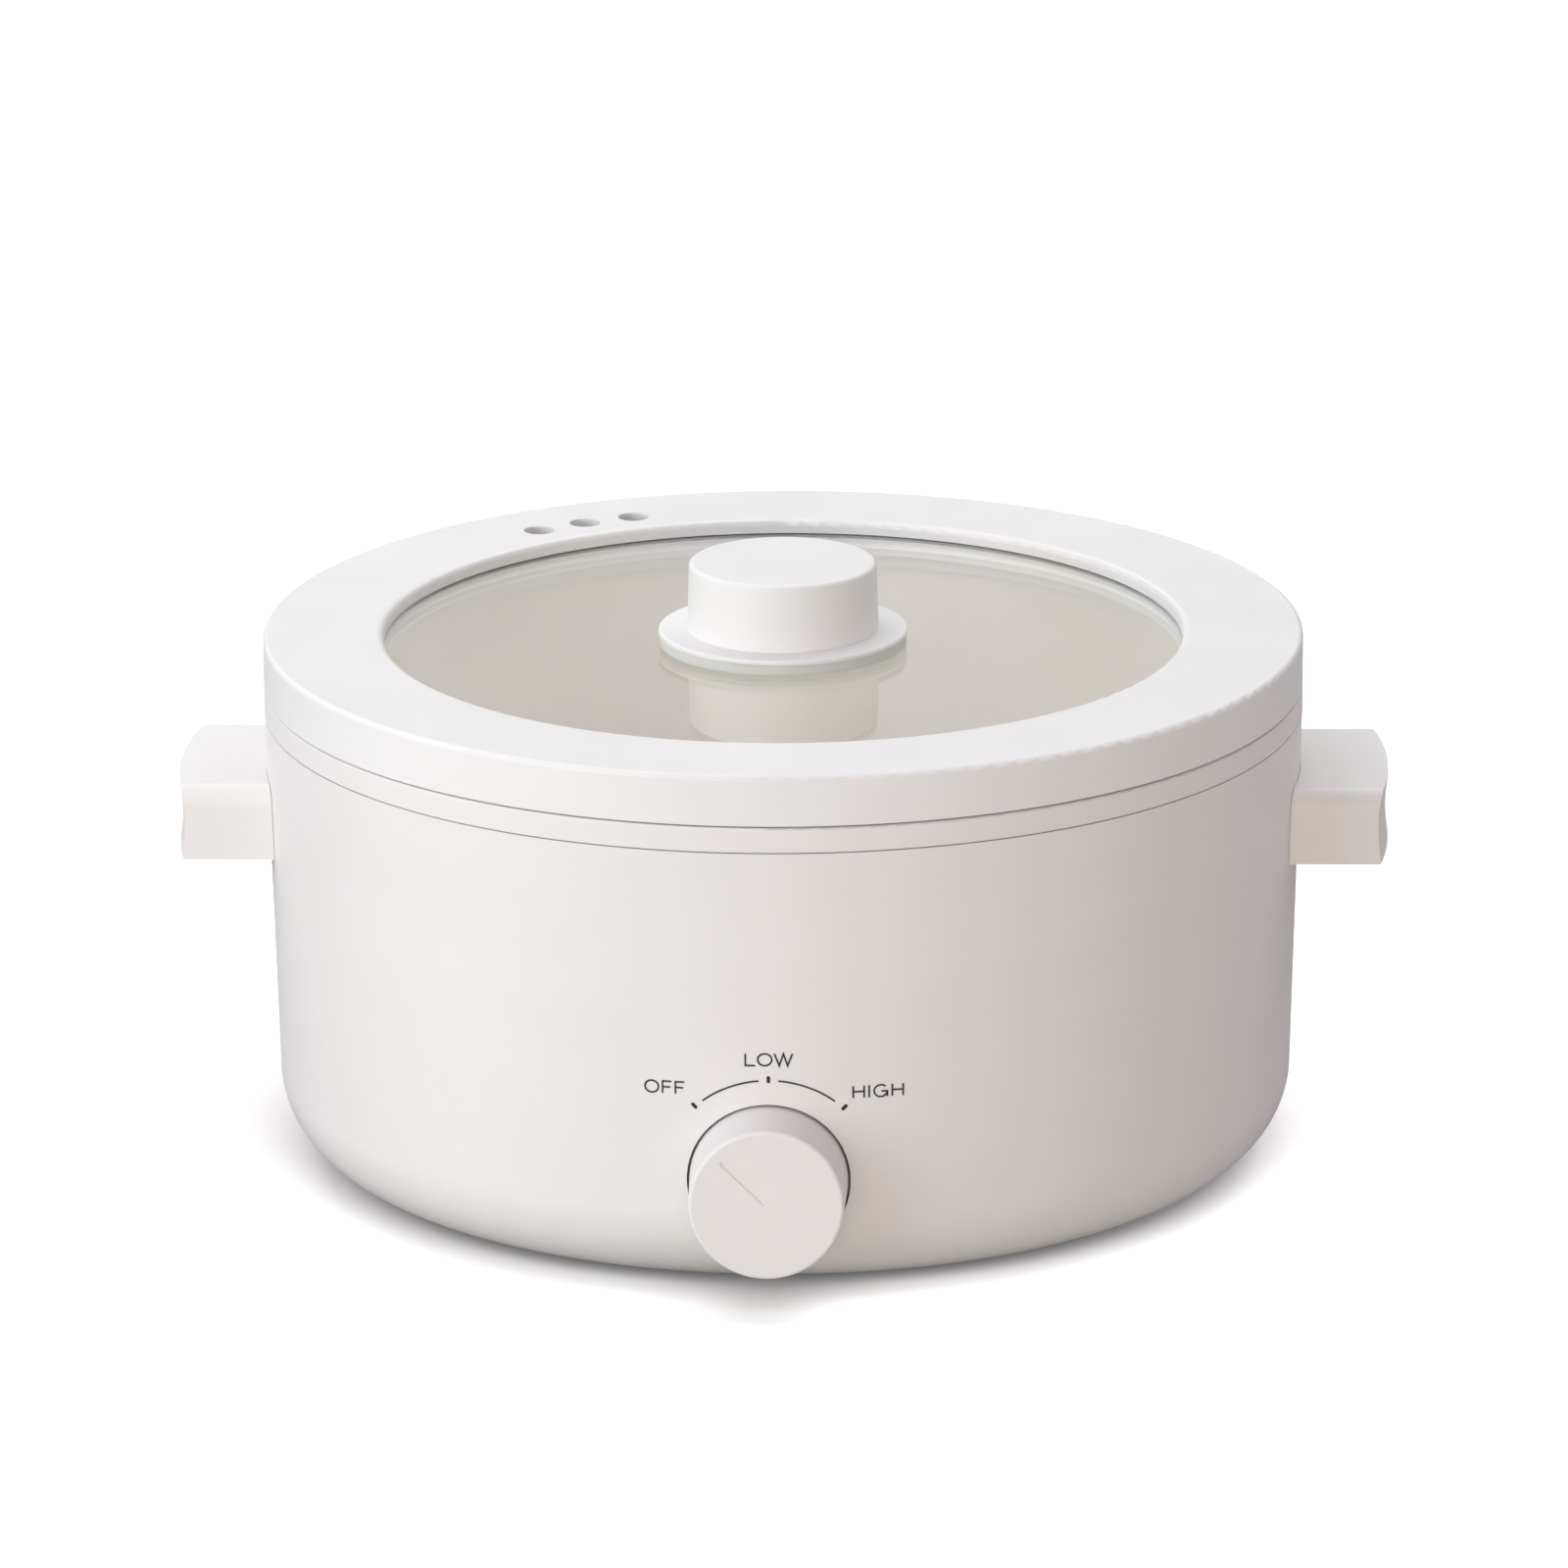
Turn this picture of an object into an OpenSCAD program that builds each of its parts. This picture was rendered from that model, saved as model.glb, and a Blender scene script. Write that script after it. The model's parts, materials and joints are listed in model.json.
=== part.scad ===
// Round countertop slow cooker: a drafted plastic housing with two slab handles and a front
// rotary control, a lift-out pot on a cast heater, and a glass lid in a wide plastic ring.
// Origin: centre of the cooker on the surface it stands on. +Z up, the control faces -Y.

/* [Body] */
// Outer radius of the lid, the collar and the housing's top edge
rim_r = 143; // [136:0.5:150]
// Height of the lid ring's top face above the floor
lid_top_z = 149; // [146:0.5:160]
// Draft of the housing wall in degrees, narrowing downwards
draft = 1.63; // [0.5:0.05:2]
// Radius of the rounded edge between wall and underside
corner_r = 24; // [22:0.1:28]
// Moulded wall thickness of the housing
wall = 2.5; // [2.2:0.1:3]
// Height of the collar band between the two seams
collar_h = 7.1; // [6.5:0.1:8]
// Height of the rubber feet under the housing
foot_h = 2.5; // [2:0.1:4]

/* [Lid] */
// Height of the lid ring's skirt
lid_h = 13.7; // [13:0.1:15]
// Open seam between lid skirt and collar
seam_gap = 0.5; // [0.3:0.1:0.8]
// Radius of the glass window inside the lid ring
window_r = 110; // [106:0.5:111]
// Depth of the glass below the ring's top face
glass_drop = 4; // [3.5:0.1:4.5]
// Thickness of the glass
glass_t = 4; // [3:0.1:4.5]
// Radius of one steam vent
vent_r = 4.4; // [3:0.1:5]
// Direction of the middle steam vent in degrees, 90 is the back
vent_az = 119.2; // [100:0.1:140]
// Radius of the lid's grip at its top edge
grip_r = 25.85; // [22:0.05:28]
// Height of the lid's grip above its flange
grip_h = 18.7; // [16:0.1:22]
// Radius of the flange under the grip
flange_r = 34.3; // [31:0.1:38]

/* [Pot] */
// Inner radius of the pot at its mouth
pot_r = 122.5; // [121:0.1:123.5]
// Wall thickness of the pot
pot_t = 2; // [1.5:0.1:2.2]
// Height of the pot's outer underside above the floor
pot_floor_z = 56; // [55.8:0.1:60]

/* [Handles] */
// Reach of the handles from the centre
handle_r = 166.7; // [163:0.1:172]
// Width of one handle, front to back
handle_w = 66; // [60:0.5:72]
// How far the handles sit behind the middle of the cooker
handle_shift = 5; // [0:0.5:8]
// Height of the handle's underside
handle_z = 90; // [86:0.5:92]
// Thickness of the handle from underside to top
handle_h = 20.5; // [19:0.5:21]
// Depth of the shallow scoop along the handle's outer wall
scoop = 0.75; // [0.3:0.05:1]

/* [Control] */
// Height of the control's axis
knob_z = 35.5; // [35:0.5:36]
// Radius of the control knob where it enters the housing
knob_r = 21.3; // [20:0.1:21.5]
// Distance of the knob's front face from the cooker's axis
knob_face = 160.2; // [156:0.1:166]
// Direction of the pointer at rest, in degrees left of straight up
pointer_deg = 45; // [0:5:60]

/* [Hidden] */
$fn = 96;
eps = 0.05;                                   // clearance between fixed pieces that share a shape
fit = 0.08;                                   // running clearance of a turning shaft

// levels, from the floor up
bottom_z = foot_h;
base_t = 2;
lip_z = bottom_z + base_t;                    // top of the base plate, underside of the housing lip
collar_top_z = lid_top_z - lid_h - seam_gap;
collar_z = collar_top_z - collar_h;
skirt_z = lid_top_z - lid_h;
ledge_z = collar_top_z - 2.5;                 // the pot's flange lies here
flange_top_z = ledge_z + 2;
glass_top_z = lid_top_z - glass_drop;
glass_z = glass_top_z - glass_t;
clamp_z = glass_z - 1;                        // top of the lid's inner ring
well_z = pot_floor_z - 8;
plate_z = well_z + 1;                         // underside of the heater plate
shield_z = well_z - 8;
grip_z = lid_top_z + 0.2;                     // underside of the grip, top of its flange
flange_t = 1.2;

// steam vents
vent_step = 7;                                // degrees from one vent to the next
vent_ring_r = pot_r - 0.2;

// housing profile
arc_z = bottom_z + corner_r;
arc_r = round(100 * (rim_r - (collar_z - arc_z + corner_r * sin(draft)) * tan(draft)
    - corner_r * cos(draft))) / 100;
hair = 0.015;                                 // crossing depth of arcs that blend into a line
plate_r = arc_r - 1.3;                        // base plate
mouth_r = plate_r - 10.2;                     // opening in the housing's underside
function skin_r(z) = rim_r - (collar_z - z) * tan(draft);

// handle plan
handle_front = handle_shift - handle_w / 2;
handle_back = handle_shift + handle_w / 2;
handle_edge = 5;                              // plan radius of the handle's rear corner
handle_top_edge = 5;                          // section radius along the handle's front and back
corner_y = handle_back - handle_edge;
corner_x = round(100 * sqrt(pow(handle_r - handle_edge, 2) - pow(corner_y, 2))) / 100;
handle_screw_y = [handle_shift - 19, handle_shift + 19];
handle_screw_z = handle_z + handle_h / 2;

// control and switch, measured outwards along the control's axis
cup_r = knob_r + 0.6;
cup_floor = 132;
cup_back = cup_floor - 2.5;
switch_w = 26;
switch_h = 24;
switch_d = 15;
switch_back = cup_back - switch_d;
shaft_r = 3;
shaft_end = knob_face - 8;
flat_start = cup_floor + 5.5;                   // the shaft's D flat begins here
flat_x = 2;

// power inlet at the back
inlet_z = 35.5;
inlet_face = 158;
shroud_w = 46;
shroud_h = 34;
socket_w = 27.2;
socket_h = 19.6;
socket_depth = 19.5;
shroud_screw_x = 18;

// fasteners
screw_r = 1.4;                                // shank of the thread-forming screws
pilot_r = 1.45;                               // hole that such a screw bites into
clear_r = 1.9;                                // hole that such a screw passes through
bushing_r = 4.7;
socket_screw_r = 2.5;                         // shank of the grip's machine screw
base_screw_r = plate_r - 5.7;
foot_r = 88;
well_screw_r = rim_r - 9.8;
lid_screw_r = rim_r - 7.8;
stud_r = 74;
element_r = 48;
tube_r = 3.5;

// ---- shared shapes ----

// Pie slice about the centre c, from angle a to angle b, less than 120 degrees apart
module sector(c, r, a, b) {
    translate(c) intersection() {
        circle(r);
        polygon([[0, 0], 2 * r * [cos(a), sin(a)], 2 * r * [cos(b), sin(b)]]);
    }
}

// Rectangle from [x0, y0] to [x1, y1]
module rect(x0, y0, x1, y1) {
    translate([x0, y0]) square([x1 - x0, y1 - y0]);
}

// Ring about Z between two radii and two heights
module ring(r0, r1, z0, z1) {
    rotate_extrude() rect(r0, z0, r1, z1);
}

// Centred rectangle with true round corners
module round_rect(w, h, r) {
    square([w, h - 2 * r], center = true);
    square([w - 2 * r, h], center = true);
    for (sx = [-1, 1], sy = [-1, 1])
        translate([sx * (w / 2 - r), sy * (h / 2 - r)]) intersection() {
            circle(r);
            translate([sx > 0 ? 0 : -r, sy > 0 ? 0 : -r]) square(r);
        }
}

// Turned disc with its top outer edge rounded, wall leaning from r_low to r_top
module turned_cap(r_low, r_top, z0, z1, edge) {
    rotate_extrude() {
        polygon([[0, z0], [r_low, z0], [r_top, z1 - edge], [r_top - edge, z1 - edge],
                 [r_top - edge, z1], [0, z1]]);
        sector([r_top - edge, z1 - edge], edge, 0, 90);
    }
}

// Copies at equal steps around Z
module around(r, count, start = 0) {
    for (i = [0 : count - 1]) rotate(start + i * 360 / count) translate([r, 0, 0]) children();
}

// Frame of the front control: its +Z points out of the front, its +Y points up
module at_control() {
    translate([0, 0, knob_z]) rotate([90, 0, 0]) children();
}

// Frame of the rear inlet: its +Z points out of the back, its +Y points up
module at_inlet() {
    translate([0, 0, inlet_z]) rotate([90, 0, 180]) children();
}

// Pan-head screw pointing up +Z, head below z = 0
module pan_screw(head_r, head_h, shank_r, length) {
    translate([0, 0, -head_h]) difference() {
        cylinder(r = head_r, h = head_h);
        translate([0, 0, -0.01]) intersection() {
            cylinder(r = head_r * 0.6, h = head_h * 0.55);
            union() {
                translate([-head_r, -0.35, 0]) cube([2 * head_r, 0.7, head_h]);
                translate([-0.35, -head_r, 0]) cube([0.7, 2 * head_r, head_h]);
            }
        }
    }
    cylinder(r = shank_r, h = length);
}

// Solid inside the housing's outer skin, shrunk by inset on every side, carried up to z_top.
// The wall line runs a hair inside the corner's arc, so the two cross instead of touching.
module skin(inset, z_top) {
    r = corner_r - inset;
    lean = inset / cos(draft) + hair;
    low = bottom_z + inset;
    join_z = arc_z - r * sin(draft);
    rotate_extrude() {
        polygon([[0, low], [arc_r, low], [arc_r, join_z], [skin_r(join_z) - lean, join_z],
                 [skin_r(z_top) - lean, z_top], [0, z_top]]);
        intersection() {
            translate([arc_r, arc_z]) circle(r);
            rect(arc_r, low - 1, arc_r + 2 * r, arc_z + r / 2);
        }
    }
}

// ---- housing and base ----

module housing() {
    color([0.93, 0.93, 0.92]) difference() {
        union() {
            difference() {
                skin(0, collar_z);
                skin(wall, collar_z + 1);
            }
            ring(mouth_r, arc_r + 3.5, lip_z, lip_z + 2);
            around(base_screw_r, 4, 45) translate([0, 0, lip_z]) cylinder(r = 4.2, h = 13);
            // cup behind the control knob
            intersection() {
                skin(0.8, collar_z);
                at_control() translate([0, 0, cup_back]) cylinder(r = cup_r + 2.4, h = 30);
            }
        }
        translate([0, 0, -1]) cylinder(r = mouth_r, h = lip_z + 4);
        translate([0, 0, -1]) cylinder(r = plate_r + 0.2, h = lip_z + 1);
        around(base_screw_r, 4, 45) cylinder(r = pilot_r, h = lip_z + 11);
        at_control() {
            translate([0, 0, cup_floor]) cylinder(r = cup_r, h = 40);
            translate([0, 0, cup_back - 1]) cylinder(r = bushing_r + eps, h = 10);
        }
        // groove for the collar's snap beads
        ring(rim_r - 4, rim_r - 1.8, collar_z - 5, collar_z - 2.9);
        for (side = [0, 1], y = handle_screw_y) mirror([side, 0, 0])
            translate([rim_r - 10, y, handle_screw_z])
                rotate([0, 90, 0]) cylinder(r = clear_r, h = 20);
        at_inlet() {
            translate([0, 0, 125]) linear_extrude(30) round_rect(30, 24, 3);
            for (x = [-1, 1]) translate([x * shroud_screw_x, 0, 125]) cylinder(r = clear_r, h = 30);
        }
    }
}

module collar_ring() {
    edge = 0.6;
    band_r = rim_r - 3.5;                     // inside of the visible band
    skirt_r = rim_r - 3;                      // outside of the skirt that plugs into the housing
    skirt_in = rim_r - 6;
    skirt_end = collar_z - 6;
    seam_z = collar_z + 0.35;                 // lower edge of the visible band
    shelf_r = pot_r + 5;
    shelf_z = ledge_z - 2.6;
    color([0.93, 0.93, 0.92]) union() {
        rotate_extrude() {
            polygon([[band_r, seam_z], [rim_r, seam_z],
                     [rim_r, collar_top_z - edge], [rim_r - edge, collar_top_z - edge],
                     [rim_r - edge, collar_top_z], [band_r, collar_top_z],
                     [band_r, ledge_z], [shelf_r, ledge_z], [shelf_r, shelf_z],
                     [skirt_in, shelf_z], [skirt_in, skirt_end],
                     [skirt_r, skirt_end], [skirt_r, seam_z]]);
            sector([rim_r - edge, collar_top_z - edge], edge, 0, 90);
        }
        // snap beads
        for (i = [0 : 5]) rotate(i * 60 - 6) rotate_extrude(angle = 12)
            rect(skirt_r - 0.2, collar_z - 4.7, skirt_r + 0.8, collar_z - 3.2);
        // screw bosses for the heating well
        around(well_screw_r, 4, 45) translate([0, 0, ledge_z - 10.3]) difference() {
            cylinder(r = 3.2, h = 8);
            translate([0, 0, -1]) cylinder(r = pilot_r, h = 7.5);
        }
    }
}

module base_plate() {
    rib_r = mouth_r - 0.4;                    // rib that centres the plate in the housing
    rib_t = 2;
    color([0.86, 0.86, 0.85]) difference() {
        union() {
            translate([0, 0, bottom_z]) cylinder(r = plate_r, h = base_t);
            ring(rib_r - rib_t, rib_r, lip_z - 1, lip_z + 3);
        }
        // holes and countersunk seats of the screws
        around(base_screw_r, 4, 45) {
            translate([0, 0, bottom_z - 1]) cylinder(r = 1.7, h = 6);
            translate([0, 0, bottom_z - 1]) cylinder(r = 3.3, h = 2);
        }
        around(foot_r, 4, 45) translate([0, 0, bottom_z - 1]) cylinder(r = 3 + eps, h = 6);
        // cooling slots
        for (i = [0 : 23]) rotate(i * 15 + 7.5) translate([52, 0, bottom_z - 1])
            linear_extrude(4) round_rect(26, 3, 1.4);
    }
}

module base_screws() {
    color("silver") around(base_screw_r, 4, 45)
        translate([0, 0, bottom_z + 1]) pan_screw(3, 0.9, screw_r, 11);
}

module rubber_feet() {
    color([0.75, 0.75, 0.74]) around(foot_r, 4, 45) {
        difference() {
            cylinder(r = 9, h = bottom_z);
            translate([0, 0, -1]) cylinder(r = 3.5, h = 1.8);
        }
        translate([0, 0, bottom_z - 0.1]) cylinder(r = 3, h = 2.1);
        translate([0, 0, lip_z]) cylinder(r1 = 4, r2 = 2.6, h = 2.5);
    }
}

// ---- handles ----

// Plan of the right handle, shrunk by inset, from x_in outwards: its outer edge is an arc about the
// cooker's axis, its front corner is square and its rear corner round. The outer edge runs a hair
// inside the corner's arc, so the two cross instead of touching.
module handle_plan(inset, x_in) {
    e = handle_edge - inset;
    tangent_y = corner_y * (handle_r - inset) / (handle_r - handle_edge);
    rect(x_in, handle_front + inset, corner_x, handle_back - inset);
    rect(x_in, handle_front + inset, corner_x + e / 2, corner_y);
    intersection() {
        circle(handle_r - inset - hair);
        rect(x_in, handle_front + inset, handle_r + 10, tangent_y);
    }
    translate([corner_x, corner_y]) intersection() {
        circle(e);
        translate([0, e / 2]) square(3 * e, center = true);
    }
}

// Front-to-back section of the handle in the YZ plane, top edges rounded
module handle_section() {
    e = handle_top_edge;
    y0 = handle_front;
    y1 = handle_back;
    polygon([[y0, 0], [y1, 0], [y1, handle_h - e], [y1 - e, handle_h - e], [y1 - e, handle_h],
             [y0 + e, handle_h], [y0 + e, handle_h - e], [y0, handle_h - e]]);
    sector([y1 - e, handle_h - e], e, 0, 90);
    sector([y0 + e, handle_h - e], e, 90, 180);
}

module handle() {
    root_x = rim_r - 20;                      // the blank starts inside the housing's skin
    grip_wall = 3;
    top_wall = 3.5;
    boss_r = 4;
    scoop_r = 54;
    difference() {
        union() {
            difference() {
                intersection() {
                    translate([0, 0, handle_z]) linear_extrude(handle_h) handle_plan(0, root_x);
                    translate([root_x, 0, handle_z]) rotate([90, 0, 90])
                        linear_extrude(60) handle_section();
                }
                // finger recess, open below
                translate([0, 0, handle_z - 1]) linear_extrude(handle_h + 1 - top_wall)
                    handle_plan(grip_wall, rim_r + 3.5);
                // scoop around the outer wall
                rotate_extrude() translate([handle_r + scoop_r - scoop, handle_z + handle_h / 2])
                    circle(scoop_r);
            }
            for (y = handle_screw_y) translate([rim_r - 6, y, handle_screw_z])
                rotate([0, 90, 0]) cylinder(r = boss_r, h = 15);
        }
        translate([0, 0, collar_z - 80]) cylinder(r1 = skin_r(collar_z - 80) + eps,
                                                  r2 = skin_r(collar_z) + eps, h = 80);
        for (y = handle_screw_y) translate([rim_r - 8, y, handle_screw_z])
            rotate([0, 90, 0]) cylinder(r = pilot_r, h = 15);
    }
}

module handle_right() { color([0.93, 0.93, 0.92]) handle(); }

module handle_left() { color([0.93, 0.93, 0.92]) mirror([1, 0, 0]) handle(); }

module handle_screws() {
    head_r = 3.4;
    gap = 0.3;                                // from the wall's curve, at the head's far edge
    inner_r = skin_r(handle_screw_z) - wall;
    color("silver") for (side = [0, 1], y = handle_screw_y) {
        seat_x = round(100 * sqrt(pow(inner_r, 2) - pow(abs(y) + head_r, 2))) / 100 - gap;
        mirror([side, 0, 0]) translate([seat_x, y, handle_screw_z]) rotate([0, 90, 0])
            pan_screw(head_r, 2, screw_r, 11);
    }
}

// ---- heating ----

well_r = pot_r + 5.5;
well_corner = 24;

// Tub profile: outer radius r, flat underside at z0, corner radius e, open top at z1
module tub_profile(r, z0, z1, e) {
    polygon([[0, z0], [r - e, z0], [r - e, z0 + e], [r, z0 + e], [r, z1], [0, z1]]);
    sector([r - e, z0 + e], e, -90, 0);
}

module heating_well() {
    top = ledge_z - 2.8;
    color([0.8, 0.81, 0.82]) difference() {
        union() {
            rotate_extrude() difference() {
                tub_profile(well_r, well_z, top, well_corner);
                tub_profile(well_r - 1, well_z + 1, top + 1, well_corner - 1);
                rect(-1, well_z - 1, 62, well_z + 2);
            }
            around(well_screw_r, 4, 45) translate([-6, -6, ledge_z - 11.3]) cube([9.3, 12, 1]);
        }
        around(well_screw_r, 4, 45) translate([0, 0, ledge_z - 13]) cylinder(r = 1.6, h = 5);
        around(stud_r, 3, 30) translate([0, 0, well_z - 1]) cylinder(r = 2.2, h = 3);
        // the tabs end at the tub's wall
        translate([0, 0, well_z + 40]) cylinder(r = well_r - 1, h = 60);
    }
}

module well_screws() {
    color("silver") around(well_screw_r, 4, 45)
        translate([0, 0, ledge_z - 11.3]) pan_screw(3, 2, screw_r, 7);
}

module heater_plate() {
    color([0.72, 0.73, 0.74]) difference() {
        union() {
            turned_cap(86, 86, plate_z, pot_floor_z - 0.4, 1.5);
            around(stud_r, 3, 30) translate([0, 0, plate_z]) cylinder(r = 5, h = 4);
        }
        around(stud_r, 3, 30) translate([0, 0, plate_z - 1]) cylinder(r = 2 + eps, h = 5.5);
        translate([0, 0, plate_z]) rotate_extrude() translate([element_r, 0]) circle(tube_r + eps);
    }
}

module heater_element() {
    gap = 24;
    color([0.45, 0.45, 0.46]) {
        translate([0, 0, plate_z]) rotate(-90 + gap / 2) rotate_extrude(angle = 360 - gap)
            translate([element_r, 0]) circle(tube_r);
        for (s = [-1, 1]) rotate(-90 + s * (gap / 2 - 3)) translate([element_r, 0, plate_z - 13.5]) {
            cylinder(r = 3.2, h = 12.5);
            translate([0, 0, -5]) cylinder(r = 1.2, h = 6);
        }
        // bent ends of the tube
        for (s = [-1, 1]) rotate(-90 + s * (gap / 2 - 3)) translate([element_r, 0, plate_z - 1])
            sphere(r = 3.2);
    }
}

module heater_studs() {
    color("silver") around(stud_r, 3, 30) translate([0, 0, shield_z - 5]) cylinder(r = 2, h = 17);
}

module heater_nuts() {
    color("silver") around(stud_r, 3, 30) translate([0, 0, shield_z - 3.2]) difference() {
        cylinder(r = 4.04, h = 3.2, $fn = 6);
        translate([0, 0, -1]) cylinder(r = 2 + eps, h = 6);
    }
}

module shield_spacers() {
    color([0.8, 0.8, 0.8]) around(stud_r, 3, 30)
        ring(2 + eps, 4, shield_z + 1, well_z);
}

module heat_shield() {
    color([0.82, 0.83, 0.84]) difference() {
        union() {
            translate([0, 0, shield_z]) cylinder(r = 98, h = 1);
            ring(97, 98, shield_z, shield_z + 5);
        }
        around(stud_r, 3, 30) translate([0, 0, shield_z - 1]) cylinder(r = 2.2, h = 3);
        translate([0, 0, shield_z - 1]) cylinder(r = 14, h = 3);
        for (s = [-1, 1]) rotate(-90 + s * 9) translate([element_r, 0, shield_z - 1])
            cylinder(r = 5.5, h = 3);
    }
}

module thermostat() {
    color([0.25, 0.22, 0.2]) {
        translate([0, 0, shield_z - 1]) cylinder(r = 7.5, h = plate_z - shield_z - 0.6);
        translate([0, 0, plate_z - 1.7]) cylinder(r = 9, h = 1.6);
    }
    color("gold") for (s = [-1, 1]) translate([s * 4.5 - 3.15, -0.4, shield_z - 9])
        cube([6.3, 0.8, 8.1]);
}

module thermal_fuse() {
    x = 22;
    color([0.85, 0.8, 0.7]) translate([x, 0, plate_z - 3]) rotate([90, 0, 0]) {
        cylinder(r = 2.2, h = 14, center = true);
        cylinder(r = 0.5, h = 26, center = true);
    }
}

module fuse_clamp() {
    x = 22;
    color("silver") translate([x, 0, plate_z - 3]) rotate([90, 0, 0]) difference() {
        union() {
            cylinder(r = 2.9, h = 7, center = true);
            translate([0, 1.5, 0]) cube([12, 2.8, 7], center = true);
        }
        cylinder(r = 2.2 + eps, h = 9, center = true);
    }
}

// ---- switch ----

module switch_body() {
    color([0.2, 0.2, 0.21]) at_control() difference() {
        translate([0, 0, switch_back]) linear_extrude(switch_d) round_rect(switch_w, switch_h, 2);
        translate([0, 0, switch_back - 1]) linear_extrude(switch_d - 1) square([22, 20], center = true);
        translate([0, 0, switch_back]) cylinder(r = bushing_r + eps, h = switch_d + 1);
    }
}

module switch_cover() {
    color([0.35, 0.3, 0.25]) at_control() difference() {
        translate([0, 0, switch_back - 2]) linear_extrude(2) round_rect(switch_w, switch_h, 2);
        for (x = [-1, 1], y = [-1, 1]) translate([x * 9.5 - 0.6, y * 6 - 3.3, switch_back - 3])
            cube([1.2, 6.6, 4]);
    }
}

module switch_bushing() {
    color("silver") at_control() difference() {
        translate([0, 0, cup_back - 2]) cylinder(r = bushing_r, h = 9.2);
        translate([0, 0, cup_back - 3]) cylinder(r = shaft_r + fit, h = 12);
    }
}

module switch_nut() {
    color("silver") at_control() translate([0, 0, cup_floor]) difference() {
        cylinder(r = 6.93, h = 2.4, $fn = 6);
        translate([0, 0, -1]) cylinder(r = bushing_r + eps, h = 5);
    }
}

module switch_terminals() {
    color("gold") at_control() for (x = [-1, 1], y = [-1, 1])
        translate([x * 9.5 - 0.4, y * 6 - 3.15, switch_back - 10]) cube([0.8, 6.3, 14]);
}

module contact_springs() {
    color("gold") at_control() for (x = [-1, 1]) translate([x * 9 - 0.15, -8, switch_back + 5])
        cube([0.3, 16, 6]);
}

module switch_shaft() {
    color("silver") at_control() difference() {
        translate([0, 0, switch_back + 1]) cylinder(r = shaft_r, h = shaft_end - switch_back - 1);
        rotate(pointer_deg) translate([flat_x, -5, flat_start]) cube([5, 10, 40]);
    }
}

module switch_rotor() {
    color([0.9, 0.9, 0.85]) at_control() difference() {
        union() {
            translate([0, 0, switch_back + 2]) cylinder(r = 6.4, h = 9.5);
            for (a = [0, 45, 90]) rotate(a + 90) translate([5.6, 0, switch_back + 4.5])
                cylinder(r = 2.3, h = 6);
        }
        translate([0, 0, switch_back]) cylinder(r = shaft_r + eps, h = 20);
    }
}

module control_knob() {
    edge = 1;
    face_r = knob_r - 0.6;
    back = cup_floor + 0.7;
    color([0.93, 0.93, 0.92]) at_control() difference() {
        turned_cap(knob_r, face_r, back, knob_face, edge);
        difference() {
            translate([0, 0, back - 1]) cylinder(r = knob_r - 2.4, h = knob_face - back - 2);
            difference() {
                union() {
                    translate([0, 0, back + 6]) cylinder(r = 6, h = 30);
                    for (a = [0, 120, 240]) rotate(a) translate([0, -1, back + 12])
                        cube([knob_r, 2, 30]);
                }
                translate([0, 0, back]) intersection() {
                    cylinder(r = shaft_r + eps, h = shaft_end - back + 0.2);
                    rotate(pointer_deg) translate([-10, -10, 0]) cube([10 + flat_x + eps, 20, 40]);
                }
            }
        }
        // engraved pointer line on the face
        rotate(pointer_deg) translate([0, 8.7, knob_face - 0.5]) linear_extrude(2)
            round_rect(1.1, 16.6, 0.5);
    }
}

module knob_clip() {
    color("silver") at_control() difference() {
        ring(6 + eps, 6.7, cup_floor + 7.5, cup_floor + 11.5);
        rotate(60) translate([0, -1.5, cup_floor + 7]) cube([10, 3, 6]);
    }
}

// ---- power inlet ----

module inlet_shroud() {
    color([0.93, 0.93, 0.92]) difference() {
        at_inlet() difference() {
            union() {
                difference() {
                    translate([0, 0, 120]) linear_extrude(inlet_face - 120)
                        round_rect(shroud_w, shroud_h, 6);
                    translate([0, 0, 119]) linear_extrude(inlet_face - 119 - 2.5)
                        round_rect(shroud_w - 5, shroud_h - 5, 3.5);
                }
                for (x = [-1, 1]) translate([x * shroud_screw_x, 0, 120])
                    cylinder(r = 2.9, h = inlet_face - 121);
            }
            translate([0, 0, 119]) linear_extrude(60)
                square([socket_w + 0.3, socket_h + 0.3], center = true);
            for (x = [-1, 1]) translate([x * shroud_screw_x, 0, 119]) cylinder(r = pilot_r, h = 33);
        }
        // the shroud's back follows the housing's skin
        skin(-eps, collar_z);
    }
}

module inlet_socket() {
    color([0.16, 0.16, 0.17]) at_inlet() difference() {
        union() {
            translate([0, 0, inlet_face]) linear_extrude(1.8) round_rect(31, 24, 2);
            translate([0, 0, inlet_face - 23]) linear_extrude(23.5)
                square([socket_w, socket_h], center = true);
        }
        translate([0, 0, inlet_face + 2.5 - socket_depth]) linear_extrude(30) polygon([
            [-12, -8], [12, -8], [12, 4], [8, 8], [-8, 8], [-12, 4]]);
        for (p = [[-7, -2], [7, -2], [0, 2]]) translate([p.x - 1.05, p.y - 2.05, 120])
            cube([2.1, 4.1, 40]);
    }
}

module inlet_pins() {
    color("silver") at_inlet() for (p = [[-7, -2], [7, -2], [0, 2]])
        translate([p.x - 1, p.y - 2, inlet_face - 31]) cube([2, 4, 27]);
}

module shroud_screws() {
    head = rim_r - 7.2;
    color("silver") at_inlet() for (x = [-1, 1]) translate([x * shroud_screw_x, 0, head])
        pan_screw(3.2, 1.8, screw_r, 15);
}

// ---- wiring ----

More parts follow.
